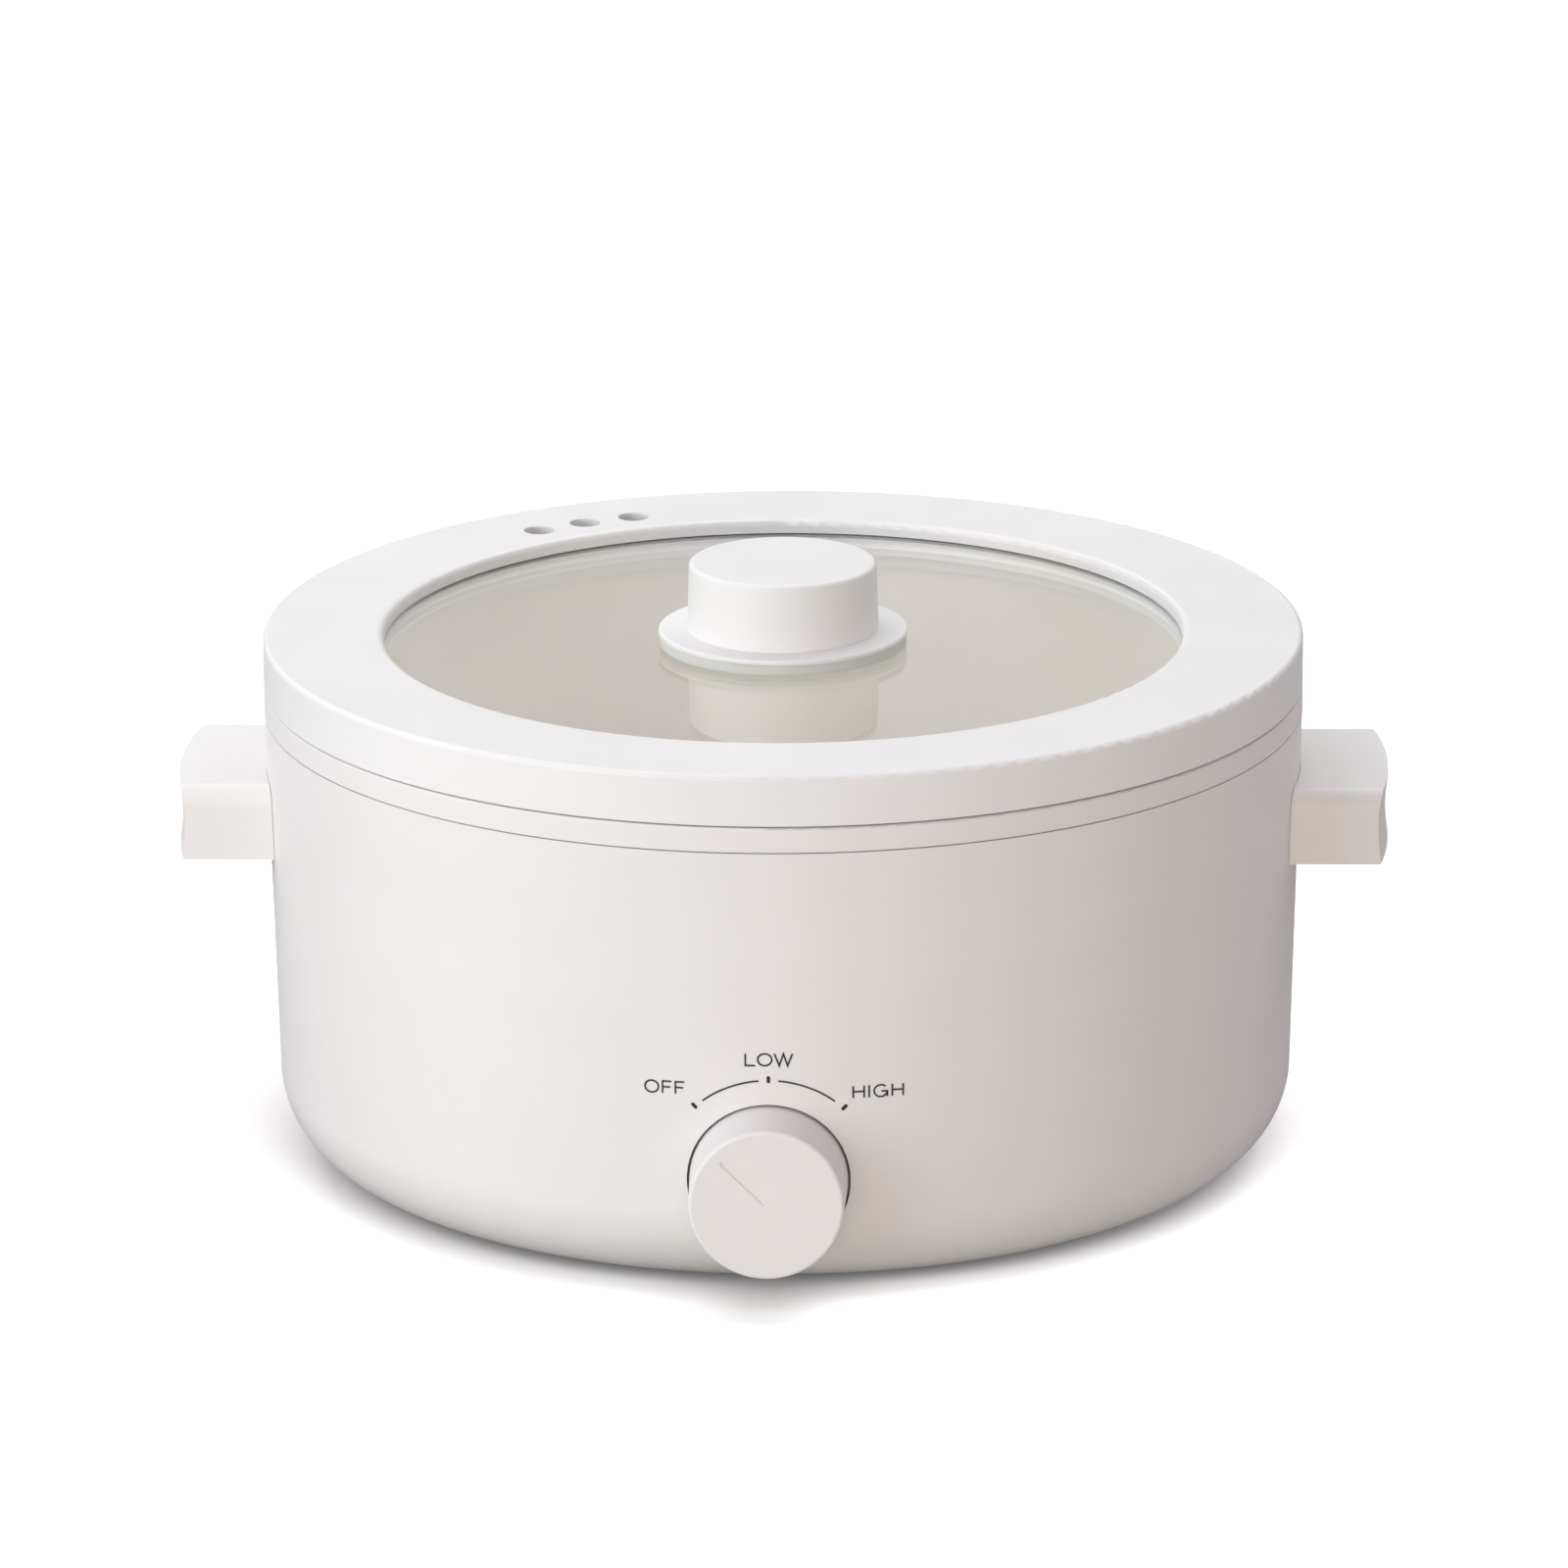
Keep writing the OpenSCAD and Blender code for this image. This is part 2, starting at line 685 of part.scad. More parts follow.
// Catmull-Rom point between p[1] and p[2]
function blend(p, t) = 0.5 * (2 * p[1] + (p[2] - p[0]) * t
    + (2 * p[0] - 5 * p[1] + 4 * p[2] - p[3]) * t * t
    + (3 * p[1] - p[0] - 3 * p[2] + p[3]) * t * t * t);

function smooth(route, steps) = [
    for (i = [0 : len(route) - 2], k = [0 : steps - 1])
        blend([route[max(i - 1, 0)], route[i], route[i + 1], route[min(i + 2, len(route) - 1)]],
              k / steps),
    route[len(route) - 1]];

function unit(v) = v / norm(v);

// Round tube of radius r along a list of points
module tube(path, r, sides = 8) {
    n = len(path);
    side = [for (i = [0 : n - 1])
        let (d = unit(path[min(i + 1, n - 1)] - path[max(i - 1, 0)]),
             up = abs(d.z) > 0.9 ? [1, 0, 0] : [0, 0, 1],
             u = unit(cross(d, up)))
        [u, cross(u, d)]];
    points = [for (i = [0 : n - 1], k = [0 : sides - 1])
        path[i] + r * (cos(k * 360 / sides) * side[i][0] + sin(k * 360 / sides) * side[i][1])];
    walls = [for (i = [0 : n - 2], k = [0 : sides - 1])
        let (a = i * sides + k, b = i * sides + (k + 1) % sides)
        [a, b, b + sides, a + sides]];
    ends = [[for (k = [sides - 1 : -1 : 0]) k], [for (k = [0 : sides - 1]) (n - 1) * sides + k]];
    polyhedron(points, concat(walls, ends), convexity = 10);
}

wire_r = 1.3;
pin_tail = inlet_face - 31;                   // inner end of the inlet's pins
tab_end = switch_back - 10;                   // inner end of the switch's tabs
live_route = [[7, pin_tail - 0.8, 33.5], [9, 118, 31], [36, 92, 22], [72, 58, 17], [90, 10, 14],
              [78, -50, 16], [48, -80, 20], [16, -96, 26], [9.5, 0.8 - tab_end, 29.5]];
neutral_route = [[-7, pin_tail - 0.8, 33.5], [-10, 116, 30], [-26, 80, 20], [-34, 30, 16],
                 [-24, -20, 18], [-12, -42, 22], [-8.5, -47.3, 29]];
earth_route = [[0, pin_tail - 0.8, 37.5], [0, 116, 35], [6, 100, 30], [24, 78, 26], [52, 58, 26],
               [63.6, 37.6, 33.4]];
high_route = [[-9.5, 0.8 - tab_end, 41.5], [-12, -96, 34], [-6, -78, 22], [0, -50, 15],
              [-1, -20, 17], [-4.5, 0, 29.5]];
low_route = [[9.5, 0.8 - tab_end, 41.5], [12, -96, 34], [14, -80, 26], [12, -60, 22],
             [8.5, -47.3, 29]];

module wire(route) { tube(smooth(route, 4), wire_r); }

module live_wire() { color([0.45, 0.25, 0.12]) wire(live_route); }

module neutral_wire() { color([0.15, 0.35, 0.7]) wire(neutral_route); }

module earth_wire() { color([0.35, 0.6, 0.2]) wire(earth_route); }

module heater_wires() {
    color([0.7, 0.15, 0.12]) {
        wire(high_route);
        wire(low_route);
    }
}

// ---- pot ----

module inner_pot() {
    corner = 22;
    r = pot_r + pot_t;
    lip_r = rim_r - 4.2;
    color([0.89, 0.86, 0.81]) rotate_extrude() {
        difference() {
            union() {
                tub_profile(r, pot_floor_z, flange_top_z, corner);
                rect(r - 1, ledge_z, lip_r - 1, flange_top_z);
                sector([lip_r - 1, ledge_z + 1], 1, -90, 0);
                sector([lip_r - 1, ledge_z + 1], 1, 0, 90);
            }
            tub_profile(pot_r, pot_floor_z + 2.5, flange_top_z - 1.5, corner - pot_t);
            rect(-1, flange_top_z - 2, pot_r, flange_top_z + 1);
        }
    }
}

// ---- lid ----

module lid_ring() {
    edge = 1.3;
    inner_edge = 1.7;
    skin_t = 2.6;
    under = glass_top_z + 1;                  // underside of the top plate
    color([0.95, 0.95, 0.96]) difference() {
        union() {
            rotate_extrude() {
                polygon([[window_r, glass_top_z + 0.25], [window_r + 2.6, glass_top_z + 0.25],
                         [window_r + 2.6, under], [rim_r - skin_t, under],
                         [rim_r - skin_t, skirt_z], [rim_r, skirt_z],
                         [rim_r, lid_top_z - edge], [rim_r - edge, lid_top_z - edge],
                         [rim_r - edge, lid_top_z], [window_r + inner_edge, lid_top_z],
                         [window_r + inner_edge, lid_top_z - inner_edge],
                         [window_r, lid_top_z - inner_edge]]);
                sector([rim_r - edge, lid_top_z - edge], edge, 0, 90);
                sector([window_r + inner_edge, lid_top_z - inner_edge], inner_edge, 90, 180);
            }
            around(lid_screw_r, 6, 30) translate([0, 0, clamp_z])
                cylinder(r = 3.4, h = under - clamp_z + 1);
        }
        around(lid_screw_r, 6, 30) translate([0, 0, clamp_z - 1]) cylinder(r = pilot_r, h = 6.5);
        for (i = [-1 : 1]) rotate(vent_az + i * vent_step) translate([vent_ring_r, 0, clamp_z])
            cylinder(r = vent_r, h = 20);
    }
}

module lid_inner_ring() {
    plate_r = rim_r - 2.9;                    // a hair inside the lid ring's skirt
    plate_t = 2.5;
    rib_t = 2.3;
    foot_r = pot_r + 7;                       // foot on the pot's flange
    pilot_in = pot_r - 4;                     // rib that centres the lid in the pot
    pilot_t = 1.4;
    pilot_h = 3.5;
    steam_r = vent_r / 2;                     // steam hole under each vent
    color([0.93, 0.93, 0.92]) difference() {
        union() {
            ring(window_r, plate_r, clamp_z - plate_t, clamp_z);
            // upstand that meets the glass, and the drop edge under it
            ring(window_r, window_r + rib_t, clamp_z - plate_t - 1, glass_z - 0.1);
            ring(foot_r, foot_r + rib_t, flange_top_z, clamp_z - plate_t);
            ring(pilot_in, pilot_in + pilot_t, flange_top_z - pilot_h, clamp_z - plate_t);
        }
        around(lid_screw_r, 6, 30) translate([0, 0, clamp_z - 5]) cylinder(r = 1.7, h = 10);
        for (i = [-1 : 1]) rotate(vent_az + i * vent_step) translate([vent_ring_r, 0, clamp_z - 5])
            cylinder(r = steam_r, h = 10);
    }
}

module lid_ring_screws() {
    color("silver") around(lid_screw_r, 6, 30)
        translate([0, 0, clamp_z - 2.5]) pan_screw(2.7, 1.7, screw_r, 7);
}

module lid_glass() {
    color([0.85, 0.93, 0.9, 0.35]) difference() {
        turned_cap(window_r + 6, window_r + 6, glass_z, glass_top_z, 0.5);
        translate([0, 0, glass_z - 1]) cylinder(r = 4, h = 10);
    }
}

module glass_gasket() {
    color([0.6, 0.58, 0.54]) rotate_extrude() difference() {
        rect(window_r + 2.7, clamp_z, window_r + 7.5, glass_top_z + 1);
        rect(window_r, glass_z, window_r + 6.05, glass_top_z);
    }
}

module lid_grip() {
    color([0.95, 0.95, 0.94]) difference() {
        turned_cap(grip_r + 0.45, grip_r, grip_z, grip_z + grip_h, 1.2);
        difference() {
            translate([0, 0, grip_z - 1]) cylinder(r = grip_r - 2.6, h = grip_h - 2);
            translate([0, 0, grip_z]) cylinder(r = 7, h = grip_h);
            for (a = [0 : 60 : 300]) rotate(a) translate([5, -0.8, grip_z + 3])
                cube([grip_r, 1.6, grip_h]);
        }
        translate([0, 0, grip_z - 1]) cylinder(r = 4.5 + eps, h = 13);
    }
}

module grip_insert() {
    color("gold") translate([0, 0, grip_z + 1]) difference() {
        cylinder(r = 4.5, h = 10.5);
        translate([0, 0, -1]) cylinder(r = socket_screw_r + eps, h = 13);
    }
}

module grip_flange() {
    edge = 0.6;
    color([0.95, 0.95, 0.94]) difference() {
        turned_cap(flange_r, flange_r, grip_z - flange_t, grip_z, edge);
        translate([0, 0, grip_z - 5]) cylinder(r = 2.8, h = 10);
    }
}

module flange_washer() {
    color([0.82, 0.84, 0.8]) ring(5, flange_r - 0.3, glass_top_z, grip_z - flange_t);
}

module lower_washer() {
    color([0.82, 0.84, 0.8]) ring(2.8, 11, glass_z - 1.5, glass_z);
}

module steel_washer() {
    color("silver") ring(2.8, 9, glass_z - 2.5, glass_z - 1.5);
}

module grip_screw() {
    color("silver") translate([0, 0, glass_z - 2.5]) pan_screw(5, 2.8, socket_screw_r, 20);
}

// ---- nodes ----

housing();
collar_ring();
base_plate();
base_screws();
rubber_feet();
handle_left();
handle_right();
handle_screws();
heating_well();
well_screws();
heater_plate();
heater_element();
heater_studs();
heater_nuts();
heat_shield();
shield_spacers();
thermostat();
thermal_fuse();
fuse_clamp();
switch_body();
switch_cover();
switch_bushing();
switch_nut();
switch_terminals();
contact_springs();
inlet_shroud();
inlet_socket();
inlet_pins();
shroud_screws();
live_wire();
neutral_wire();
earth_wire();
heater_wires();
inner_pot();
lid_ring();
lid_inner_ring();
lid_ring_screws();
lid_glass();
glass_gasket();
lid_grip();
grip_insert();
grip_flange();
flange_washer();
lower_washer();
steel_washer();
grip_screw();
control_knob();
knob_clip();
switch_shaft();
switch_rotor();
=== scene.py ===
"""Looks of a round slow cooker: materials, printed dial marks, soft studio light and camera."""
import json
import math

import bmesh
import bpy
from mathutils import Matrix, Vector

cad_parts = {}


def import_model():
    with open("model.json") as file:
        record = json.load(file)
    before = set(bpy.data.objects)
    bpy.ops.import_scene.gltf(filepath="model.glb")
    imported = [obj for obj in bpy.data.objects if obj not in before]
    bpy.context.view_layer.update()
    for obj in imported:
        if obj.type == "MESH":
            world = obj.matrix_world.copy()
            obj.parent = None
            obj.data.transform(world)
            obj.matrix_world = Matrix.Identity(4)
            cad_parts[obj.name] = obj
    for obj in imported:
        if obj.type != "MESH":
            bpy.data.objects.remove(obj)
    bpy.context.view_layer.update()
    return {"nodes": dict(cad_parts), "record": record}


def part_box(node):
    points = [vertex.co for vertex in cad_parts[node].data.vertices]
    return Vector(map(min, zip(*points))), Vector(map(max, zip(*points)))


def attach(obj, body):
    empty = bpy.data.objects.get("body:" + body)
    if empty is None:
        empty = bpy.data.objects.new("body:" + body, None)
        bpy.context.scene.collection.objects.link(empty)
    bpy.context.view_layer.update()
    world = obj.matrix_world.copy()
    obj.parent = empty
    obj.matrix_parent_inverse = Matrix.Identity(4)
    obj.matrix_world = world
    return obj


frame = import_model()
nodes = frame["nodes"]

MM = 0.001


# ---------------------------------------------------------------- material helpers

class Graph:
    """A material under construction, with short calls for the nodes used here."""

    def __init__(self, name):
        self.material = bpy.data.materials.new(name)
        self.material.use_nodes = True
        self.tree = self.material.node_tree
        self.shader = self.tree.nodes["Principled BSDF"]
        self.output = self.tree.nodes["Material Output"]
        self.place = self.add("ShaderNodeTexCoord").outputs["Object"]

    def add(self, kind, **settings):
        node = self.tree.nodes.new(kind)
        for name, value in settings.items():
            setattr(node, name, value)
        return node

    def link(self, source, target):
        self.tree.links.new(source, target)

    def noise(self, size, detail=2.0, stretch=None):
        """Noise whose features are about size metres across, 0 to 1."""
        node = self.add("ShaderNodeTexNoise")
        node.inputs["Scale"].default_value = 1.0 / size
        node.inputs["Detail"].default_value = detail
        source = self.place
        if stretch:
            mapping = self.add("ShaderNodeMapping")
            mapping.inputs["Scale"].default_value = stretch
            self.link(self.place, mapping.inputs["Vector"])
            source = mapping.outputs["Vector"]
        self.link(source, node.inputs["Vector"])
        return node.outputs["Fac"]

    def spread(self, value, low, high, start=0.3, end=0.7):
        """Maps start..end of a value to low..high."""
        node = self.add("ShaderNodeMapRange")
        for name, number in (("From Min", start), ("From Max", end), ("To Min", low), ("To Max", high)):
            node.inputs[name].default_value = number
        self.link(value, node.inputs["Value"])
        return node.outputs["Result"]

    def mix(self, fac, first, second):
        """Mixes two colours, each a tuple or a socket."""
        node = self.add("ShaderNodeMix", data_type="RGBA")
        self.link(fac, node.inputs["Factor"])
        colour_inputs = [s for s in node.inputs if s.type == "RGBA"]
        for socket, value in zip(colour_inputs, (first, second)):
            if isinstance(value, (tuple, list)):
                socket.default_value = (*value, 1.0)
            else:
                self.link(value, socket)
        return [s for s in node.outputs if s.type == "RGBA"][0]

    def bump(self, height, depth, strength, under=None):
        """A bump whose full height is depth metres, on top of another bump if there is one."""
        node = self.add("ShaderNodeBump")
        node.inputs["Distance"].default_value = depth
        node.inputs["Strength"].default_value = strength
        self.link(height, node.inputs["Height"])
        if under is not None:
            self.link(under, node.inputs["Normal"])
        return node.outputs["Normal"]

    def set(self, **values):
        """Sets or links the shader's sockets; an underscore stands for a space."""
        for name, value in values.items():
            socket = self.shader.inputs[name.replace("_", " ")]
            if isinstance(value, bpy.types.NodeSocket):
                self.link(value, socket)
            elif isinstance(value, (tuple, list)):
                socket.default_value = (*value, 1.0) if socket.type == "RGBA" else value
            else:
                socket.default_value = value


def tone(colour, factor):
    """A colour made darker or lighter."""
    return tuple(min(1.0, c * factor) for c in colour)


def moulded(name, colour, rough, grain=0.35, depth=0.012):
    """Moulded plastic: grain and depth in millimetres, faint flow marks and an uneven sheen."""
    g = Graph(name)
    flow = g.noise(size=0.060, detail=3.0, stretch=(1.0, 1.0, 2.5))
    pits = g.noise(size=grain * MM)
    smears = g.noise(size=0.018, detail=4.0)
    waves = g.bump(flow, depth=0.05 * MM, strength=0.25)
    g.set(Base_Color=g.mix(g.spread(flow, low=0.0, high=1.0), tone(colour, 0.985), colour))
    g.set(Roughness=g.spread(smears, low=rough - 0.05, high=rough + 0.05))
    g.set(Normal=g.bump(pits, depth=depth * MM, strength=0.6, under=waves))
    g.set(IOR=1.49, Specular_IOR_Level=0.35)
    return g


def white_plastic(name, colour, rough):
    """Moulded plastic with a little light passing under its skin."""
    g = moulded(name, colour, rough)
    g.set(Subsurface_Weight=0.12, Subsurface_Scale=0.0012, Subsurface_Radius=(1.0, 0.85, 0.7))
    return g.material


def dark_plastic(name, colour):
    return moulded(name, colour, rough=0.5, grain=0.5, depth=0.03).material


def rubber(name, colour):
    g = moulded(name, colour, rough=0.75, grain=0.6, depth=0.04)
    g.set(Specular_IOR_Level=0.3)
    return g.material


def silicone(name, colour):
    """Milky silicone: soft and slightly see-through."""
    g = moulded(name, colour, rough=0.38, grain=0.8, depth=0.01)
    g.set(Subsurface_Weight=0.5, Subsurface_Scale=0.003, Subsurface_Radius=(1.0, 1.0, 0.9))
    return g.material


def glass(name, tint):
    """Toughened glass that lets lamp light through to the pot, with the faintest smears."""
    g = Graph(name)
    g.set(Base_Color=tint, Transmission_Weight=1.0, IOR=1.5)
    smears = g.noise(size=0.03, detail=4.0)
    g.set(Roughness=g.spread(smears, low=0.0, high=0.03, start=0.45, end=0.8))
    clear = g.add("ShaderNodeBsdfTransparent")
    clear.inputs["Color"].default_value = (*tint, 1.0)
    ray = g.add("ShaderNodeLightPath")
    blend = g.add("ShaderNodeMixShader")
    g.link(ray.outputs["Is Shadow Ray"], blend.inputs["Fac"])
    g.link(g.shader.outputs["BSDF"], blend.inputs[1])
    g.link(clear.outputs["BSDF"], blend.inputs[2])
    g.link(blend.outputs["Shader"], g.output.inputs["Surface"])
    return g.material


def pot_coating(name, colour):
    """Sprayed ceramic coating: satin with a clear gloss, slight orange peel and fine stirring marks."""
    g = Graph(name)
    cloud = g.spread(g.noise(size=0.025, detail=4.0), low=0.0, high=1.0)
    speck = g.spread(g.noise(size=0.0012, detail=1.0), low=0.0, high=0.35, start=0.70, end=0.76)
    base = g.mix(speck, g.mix(cloud, tone(colour, 0.97), tone(colour, 1.02)), tone(colour, 0.72))
    g.set(Base_Color=base, Coat_Weight=0.35, Coat_Roughness=0.12)
    g.set(Roughness=g.spread(g.noise(size=0.012, detail=3.0), low=0.28, high=0.40))
    peel = g.bump(g.noise(size=0.0025), depth=0.03 * MM, strength=0.5)
    stirring = g.noise(size=0.0007, stretch=(1.0, 1.0, 9.0))
    g.set(Normal=g.bump(stirring, depth=0.004 * MM, strength=0.4, under=peel))
    return g.material


def sheet_metal(name, colour, rough, across=(1.0, 1.0, 1.0), stain=None):
    """Rolled or turned metal: fine lines, dull patches and, if asked for, heat stains."""
    g = Graph(name)
    lines = g.noise(size=0.0009, detail=3.0, stretch=across)
    patches = g.spread(g.noise(size=0.022, detail=4.0), low=0.0, high=1.0)
    base = g.mix(patches, tone(colour, 0.90), tone(colour, 1.05))
    if stain:
        blotches = g.noise(size=0.035, detail=3.0)
        base = g.mix(g.spread(blotches, low=0.0, high=0.6, start=0.5, end=0.7), base, stain)
    g.set(Base_Color=base, Metallic=1.0)
    g.set(Roughness=g.spread(lines, low=rough - 0.08, high=rough + 0.10))
    g.set(Normal=g.bump(lines, depth=0.01 * MM, strength=0.5))
    return g.material


def cast_metal(name, colour):
    """Die casting with a pebbled skin."""
    g = Graph(name)
    pebbles = g.noise(size=0.0016, detail=3.0)
    patches = g.spread(g.noise(size=0.02, detail=4.0), low=0.0, high=1.0)
    g.set(Base_Color=g.mix(patches, tone(colour, 0.85), colour), Metallic=1.0)
    g.set(Roughness=g.spread(pebbles, low=0.38, high=0.58))
    g.set(Normal=g.bump(pebbles, depth=0.08 * MM, strength=0.6))
    return g.material


def insulation(name, colour):
    return moulded(name, colour, rough=0.35, grain=1.2, depth=0.02).material


def ceramic(name, colour):
    return moulded(name, colour, rough=0.8, grain=0.4, depth=0.03).material


def ink(name, colour):
    """Pad-printed ink: nearly black and slightly uneven."""
    g = Graph(name)
    uneven = g.noise(size=0.0006, detail=3.0)
    g.set(Base_Color=g.mix(g.spread(uneven, low=0.0, high=1.0), colour, tone(colour, 1.6)))
    g.set(Roughness=g.spread(uneven, low=0.45, high=0.6))
    g.set(Normal=g.bump(uneven, depth=0.004 * MM, strength=0.4))
    return g.material


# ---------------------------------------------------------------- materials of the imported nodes

WHITE = (0.860, 0.848, 0.846)
LID_WHITE = (0.880, 0.876, 0.880)
CREAM = (0.960, 0.912, 0.850)
# how much finer the lines of rolled and turned metal are along x, y and z
ROLLED_GRAIN = (12.0, 1.0, 1.0)
TURNED_GRAIN = (1.0, 1.0, 14.0)

FINISHES = {
    "shell_plastic": white_plastic("shell_plastic", WHITE, 0.44),
    "lid_plastic": white_plastic("lid_plastic", LID_WHITE, 0.40),
    "control_plastic": white_plastic("control_plastic", WHITE, 0.40),
    "base_plastic": white_plastic("base_plastic", (0.70, 0.69, 0.68), 0.55),
    "foot_rubber": rubber("foot_rubber", (0.42, 0.42, 0.41)),
    "silicone": silicone("silicone", (0.74, 0.75, 0.73)),
    "clear_glass": glass("clear_glass", (0.999, 0.996, 0.992)),
    "coated_pot": pot_coating("coated_pot", CREAM),
    "well_steel": sheet_metal("well_steel", (0.60, 0.61, 0.62), 0.36, TURNED_GRAIN, stain=(0.42, 0.36, 0.27)),
    "cast_heater": cast_metal("cast_heater", (0.66, 0.67, 0.68)),
    "shield_aluminium": sheet_metal("shield_aluminium", (0.78, 0.79, 0.80), 0.25, ROLLED_GRAIN),
    "element_sheath": sheet_metal("element_sheath", (0.16, 0.15, 0.15), 0.5),
    "plain_steel": sheet_metal("plain_steel", (0.62, 0.62, 0.60), 0.28),
    "phenolic": dark_plastic("phenolic", (0.022, 0.022, 0.024)),
    "nylon": white_plastic("nylon", (0.78, 0.76, 0.68), 0.5),
    "fuse_ceramic": ceramic("fuse_ceramic", (0.72, 0.66, 0.52)),
    "brass": sheet_metal("brass", (0.72, 0.53, 0.24), 0.3),
    "wire_brown": insulation("wire_brown", (0.10, 0.04, 0.02)),
    "wire_blue": insulation("wire_blue", (0.03, 0.10, 0.35)),
    "wire_green": insulation("wire_green", (0.10, 0.30, 0.05)),
    "wire_red": insulation("wire_red", (0.38, 0.03, 0.02)),
}


def finish_nodes():
    """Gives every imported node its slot's finish."""
    slots = {part["node"]: part["material_slot"] for part in frame["record"]["subparts"]}
    for name, node in nodes.items():
        node.data.materials.clear()
        node.data.materials.append(FINISHES[slots[name]])


finish_nodes()


# ---------------------------------------------------------------- printed dial marks

KNOB_LOW, KNOB_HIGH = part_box("control_knob")
DIAL_Z = (KNOB_LOW.z + KNOB_HIGH.z) / 2
SHELL_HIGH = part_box("housing")[1]
SHELL_DRAFT = math.radians(1.63)
INK_LIFT = 0.05 * MM    # how far the ink stands out of the wall
INK_SUNK = 0.05 * MM    # how far it reaches in, so that no gap shows

INK = ink("dial_ink", (0.010, 0.009, 0.014))


def on_shell(along, up, lift):
    """Point on the housing's wall: along it to the right of the control, up from the floor."""
    radius = SHELL_HIGH.x - (SHELL_HIGH.z - up) * math.tan(SHELL_DRAFT) + lift
    angle = along / radius
    return Vector((radius * math.sin(angle), -radius * math.cos(angle), up))


SHARPEST_MITRE = 0.35   # cosine that keeps a mitred corner from running out to a spike


def ribbon(points, width):
    """Left and right edges of a pen line through points, mitred, with square ends."""
    left, right = [], []
    for i, point in enumerate(points):
        ahead = points[min(i + 1, len(points) - 1)] - point
        behind = point - points[max(i - 1, 0)]
        ahead = ahead.normalized() if ahead.length > 0 else behind.normalized()
        behind = behind.normalized() if behind.length > 0 else ahead
        middle = (ahead + behind).normalized()
        side = Vector((-middle.y, middle.x))
        reach = width / 2 / max(SHARPEST_MITRE, middle.dot(ahead))
        left.append(point + side * reach)
        right.append(point - side * reach)
    return left, right


def add_pen_line(mesh, points, width):
    """Adds one closed raised ribbon of ink to a mesh."""
    left, right = ribbon([Vector(p) for p in points], width)
    rows = []
    for a, b in zip(left, right):
        rows.append([mesh.verts.new(on_shell(p.x, p.y, lift))
                     for p, lift in ((a, INK_LIFT), (b, INK_LIFT), (b, -INK_SUNK), (a, -INK_SUNK))])
    for first, second in zip(rows, rows[1:]):
        for k in range(4):
            m = (k + 1) % 4
            mesh.faces.new((first[k], first[m], second[m], second[k]))
    mesh.faces.new(rows[0][::-1])
    mesh.faces.new(rows[-1])


def add_dash(mesh, ends, width, steps=8):
    """Adds one closed raised dash with round ends to a mesh."""
    start, end = (Vector(p) for p in ends)
    heading = math.atan2(end.y - start.y, end.x - start.x)
    outline = []
    for middle, turn in ((end, -math.pi / 2), (start, math.pi / 2)):
        for i in range(steps + 1):
            a = heading + turn + math.pi * i / steps
            outline.append(middle + Vector((math.cos(a), math.sin(a))) * width / 2)
    top = [mesh.verts.new(on_shell(p.x, p.y, INK_LIFT)) for p in outline]
    low = [mesh.verts.new(on_shell(p.x, p.y, -INK_SUNK)) for p in outline]
    mesh.faces.new(top)
    mesh.faces.new(low[::-1])
    for k in range(len(outline)):
        m = (k + 1) % len(outline)
        mesh.faces.new((top[k], low[k], low[m], top[m]))


def printed(name, lines, width, add=add_pen_line):
    """Makes one printed mark of pen lines or dashes, riding on the base."""
    mesh = bmesh.new()
    for line in lines:
        add(mesh, line, width)
    bmesh.ops.recalc_face_normals(mesh, faces=mesh.faces)
    data = bpy.data.meshes.new(name)
    mesh.to_mesh(data)
    mesh.free()
    data.materials.append(INK)
    piece = bpy.data.objects.new(name, data)
    bpy.context.scene.collection.objects.link(piece)
    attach(piece, "base")


def arc(cx, cy, rx, ry, start, end, steps=28):
    """Points of an elliptical arc, in degrees anticlockwise from the right."""
    angles = [math.radians(start + (end - start) * i / steps) for i in range(steps + 1)]
    return [(cx + rx * math.cos(a), cy + ry * math.sin(a)) for a in angles]


# widths of the capitals as shares of their height
LETTER_WIDTH = {"L": 0.68, "O": 0.98, "W": 1.26, "F": 0.63, "H": 0.78, "I": 0.0, "G": 0.94}
CROSSBAR = 0.52         # height of the bar of F and H
F_BAR = 0.88            # length of the bar of F
W_FOOT = 0.27           # how far the feet of W stand in from its sides
G_BAR_UP, G_BAR_IN = 0.46, 0.55


def letter_lines(letter, w, h):
    """Pen lines of one capital in a box w wide and h high."""
    if letter == "L":
        return [[(0, h), (0, 0), (w, 0)]]
    if letter == "O":
        return [arc(w / 2, h / 2, w / 2, h / 2, 90, 450, 40)]
    if letter == "W":
        return [[(0, h), (w * W_FOOT, 0), (w / 2, h), (w * (1 - W_FOOT), 0), (w, h)]]
    if letter == "F":
        return [[(w, h), (0, h), (0, 0)], [(0, h * CROSSBAR), (w * F_BAR, h * CROSSBAR)]]
    if letter == "H":
        return [[(0, 0), (0, h)], [(w, 0), (w, h)], [(0, h * CROSSBAR), (w, h * CROSSBAR)]]
    if letter == "I":
        return [[(0, 0), (0, h)]]
    if letter == "G":
        bowl = arc(w / 2, h / 2, w / 2, h / 2, 45, 352, 34)
        return [bowl, [(w * G_BAR_IN, h * G_BAR_UP), (w, h * G_BAR_UP), (w, 0)]]
    raise ValueError(letter)


